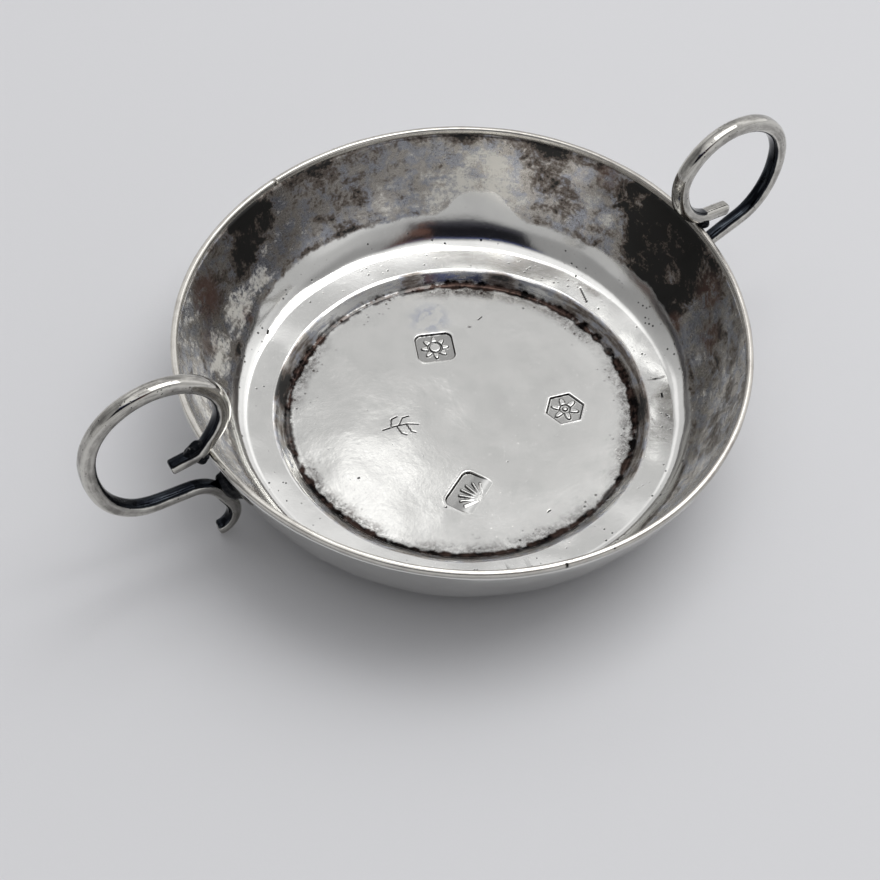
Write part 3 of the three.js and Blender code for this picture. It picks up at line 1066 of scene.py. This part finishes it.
def wire_knots(bend, wall, slope):
    """Places that the wire runs through, and its heading at each."""
    touch = wall + wall_stand_off * heading(slope - 90)
    tail = touch + bend["tail_run"] * heading(slope + 180)
    tail += bend["tail_off"] * heading(slope - 90)
    stub, stub_heading = Vector(bend["stub"]), bend["stub_heading"]
    return [
        (stub, stub_heading),
        (stub + bend["stub_straight"] * heading(stub_heading), stub_heading),
        (lip_stand_off * heading(bend["seat_heading"] - 90), bend["seat_heading"]),
        (Vector(bend["inner"]), 90),
        (Vector(bend["top"]), 0),
        (Vector(bend["outer"]), -90),
        (Vector(bend["low"]), bend["low_heading"]),
        (Vector(bend["arm"]), bend["arm_heading"]),
        (touch, slope + 180),
        (tail, 270),
        (tail + Vector(bend["tail_end"]), 360),
    ]


def wire_path(knots, points):
    """Points of the path, in the handle's upright plane."""
    path = []
    for (start, away), (end, onward) in zip(knots, knots[1:]):
        turn = radians((onward - away + 180) % 360 - 180)
        roundness = 2 * tan(turn / 4) / sin(turn / 2) if turn else 1
        pull = (end - start).length * roundness / 3
        piece = interpolate_bezier(
            start, start + pull * heading(away), end - pull * heading(onward), end, points
        )
        path += piece if not path else piece[1:]
    return path


print("a path has", knot_points, "points from one knot to the next")

# %% Bend a straight wire along the path
section_corners = 28
wire_steps = 300
squareness = 2.8  # 2 is round, more is squarer


def section_reach(angle):
    """Distance from the middle of a rounded square to its edge, if half of it is 1."""
    c, s = abs(cos(angle)), abs(sin(angle))
    return (c ** squareness + s ** squareness) ** (-1 / squareness)


def wire_half(share):
    """Half of the wire's thickness, at that share of its length."""
    full = eased(stub_thin, stub_taper, share) * eased(tail_thin, tail_taper, 1 - share)
    return (wire_end_across + (wire_across - wire_end_across) * full) / 2


def measured(path):
    """How far along the path each of its points is."""
    lengths = [0.0]
    for start, end in zip(path, path[1:]):
        lengths.append(lengths[-1] + (end - start).length)
    return lengths


def along(path, lengths, distance):
    """Point of the path that far along it, and the direction it runs in there."""
    i = max(1, next((i for i, n in enumerate(lengths) if n >= distance), len(path) - 1))
    share = (distance - lengths[i - 1]) / (lengths[i] - lengths[i - 1])
    before, after = path[max(i - 2, 0)], path[min(i + 1, len(path) - 1)]
    return path[i - 1].lerp(path[i], share), (after - before).normalized()


def straight_wire(length):
    bm = bmesh.new()
    bmesh.ops.create_cone(
        bm, cap_ends=True, segments=section_corners, radius1=1, radius2=1, depth=length
    )
    rims = [e for e in bm.edges if abs(e.verts[0].co.z - e.verts[1].co.z) < length / 2]
    bmesh.ops.bevel(
        bm, geom=rims, offset=0.4, segments=4, profile=0.5, affect="EDGES", material=-1
    )
    runs = [e for e in bm.edges if abs(e.verts[0].co.z - e.verts[1].co.z) > length / 2]
    bmesh.ops.subdivide_edges(bm, edges=runs, cuts=wire_steps)
    return bm


print("the wire is divided into", wire_steps + 1, "steps")


# %% Bend the wire and shape its section
def bent_wire(path, tail_from, stub_shade):
    lengths = measured(path)
    bm = straight_wire(lengths[-1])
    dirt_and_shade_of = bm.verts.layers.float.new("dirt")
    edge_of = bm.verts.layers.float.new("edge")
    drawn_of = bm.verts.layers.float_vector.new("drawn")
    for v in bm.verts:
        distance = min(lengths[-1], max(0, v.co.z + lengths[-1] / 2))
        at, run = along(path, lengths, distance)
        angle = atan2(v.co.y, v.co.x)
        inner = Vector((run.y, -run.x))  # towards the middle of the loop
        out = Vector((v.co.x, v.co.y)).length * section_reach(angle)
        beaten = 1 + 0.035 * noise.noise(Vector((distance / 4, angle, 0)))
        half = wire_half(distance / lengths[-1]) * out * beaten
        plane = at + half * cos(angle) * inner
        # The side that faces the middle of the loop is marked for painted shade, less of
        # it on the right handle's stub.
        facing = cos(angle) if distance < tail_from else -cos(angle)
        shade_share = stub_shade + (1 - stub_shade) * eased(4.5, 6.5, distance)
        v[dirt_and_shade_of] = eased(0.35, 0.85, facing) * shade_share
        v[edge_of] = eased(0.7, 1, abs(sin(2 * angle)))
        v[drawn_of] = Vector((0.12 * distance, 1.2 * cos(angle), 1.2 * sin(angle)))
        v.co = Vector((plane.x, half * sin(angle), plane.y))
    bmesh.ops.recalc_face_normals(bm, faces=bm.faces)
    return bm


handle_places = {}
for name, bend, node in (
    ("left_loop", left_bend, "left_handle"), ("right_loop", right_bend, "right_handle"),
):
    stand = handle_frame(bend)
    wall, slope = wall_seat(bend, stand)
    knots = wire_knots(bend, wall, slope)
    path = wire_path(knots, knot_points)
    handle_places[node] = (stand, wall, slope)
    tail_from = measured(path)[at_the_wall * (knot_points - 1)]
    bm = bent_wire(path, tail_from, bend["stub_shade"])
    bmesh.ops.transform(bm, matrix=stand, verts=bm.verts)
    make_piece(name, bm, wire_silver, node)
    print(name, "is bent from", round(measured(path)[-1], 1), "mm of wire")

# %% [markdown]
# ## Solder
#
# Where the wire meets the lip and the wall, silver solder ran into the corner and was
# never cleaned up. It is a small uneven lump, black with old flux and dirt. It could be
# sculpted, but so small a lump needs only its size right. So a round mesh is pushed in
# and out by noise, scaled to the lump's size and set in the corner.

# %% Finish of the solder
flux_black = (0.007, 0.008, 0.010, 1)
flux_grey = (0.06, 0.06, 0.065, 1)
bare_solder = (0.5, 0.49, 0.47, 1)

solder_black, net = new_material("solder_black")
place = surface(net)
crust = place.cloud(0.5, detail=6.0, rough=0.7)
bright = place.cloud(0.8, detail=3.0).smooth(0.64, 0.76)
colour = bright.mixed(crust.smooth(0.5, 0.8).mixed(flux_black, flux_grey), bare_solder)
finish_material(
    net, colour, roughness=0.27, metallic=1.0, height=crust, depth=0.12 * mm
)
print("solder has", len(solder_black.node_tree.nodes), "nodes")

# %% Lumps in the corners
def outside_radius(place):
    """Radius of the cup's outside at that height and in that direction."""
    outer = moved_aside(wall_middle, -sheet / 2)
    above = next((i for i, p in enumerate(outer) if p.y > place.z), len(outer) - 1)
    low, high = outer[above - 1], outer[above]
    radius = low.lerp(high, min(1, (place.z - low.y) / (high.y - low.y))).x
    around = radius * Vector((place.x, place.y, 0)).normalized()
    wall = raised(Vector((around.x, around.y, place.z)))
    return hypot(wall.x, wall.y)


solder_sunk = 0.12  # how far a lump reaches into the wall


def lumps(name, node, stand, blobs, seed):
    """One piece of solder, made of soft lumps: middle, half sizes and tilt of each."""
    bm = bmesh.new()
    for middle, halves, tilt in blobs:
        made = bmesh.ops.create_icosphere(bm, subdivisions=5, radius=1)["verts"]
        for v in made:
            v.co *= 1 + 0.2 * noise.noise(1.6 * v.co + Vector((seed, 0, 0)))
        place = (
            stand @ Matrix.Translation((middle.x, 0, middle.y))
            @ Matrix.Rotation(radians(tilt), 4, "Y") @ Matrix.Diagonal((*halves, 1))
        )
        bmesh.ops.transform(bm, matrix=place, verts=made)
    for v in bm.verts:
        too_deep = outside_radius(v.co) - solder_sunk - hypot(v.co.x, v.co.y)
        if too_deep > 0:
            v.co += too_deep * Vector((v.co.x, v.co.y, 0)).normalized()
    make_piece(name, bm, solder_black, node)


for side, bend, seed in (("left", left_bend, 3.0), ("right", right_bend, 8.0)):
    stand, wall, slope = handle_places[f"{side}_handle"]
    seat = lip_stand_off * heading(bend["seat_heading"] - 90)
    blobs = [(seat + Vector((0.0, -1.2)), (1.15, 1.4, 1.1), 0)]
    if side == "left":  # this one also ran out along the stub
        blobs.append((seat + Vector((1.1, 1.0)), (2.0, 0.98, 0.62), 33))
    lumps(f"{side}_lip_joint", f"{side}_rim_solder", stand, blobs, seed)
    lumps(
        f"{side}_wall_joint", f"{side}_wall_solder", stand,
        ((wall + 0.3 * heading(slope - 90), (1.5, 1.9, 4.0), 90 - slope),), seed + 2,
    )
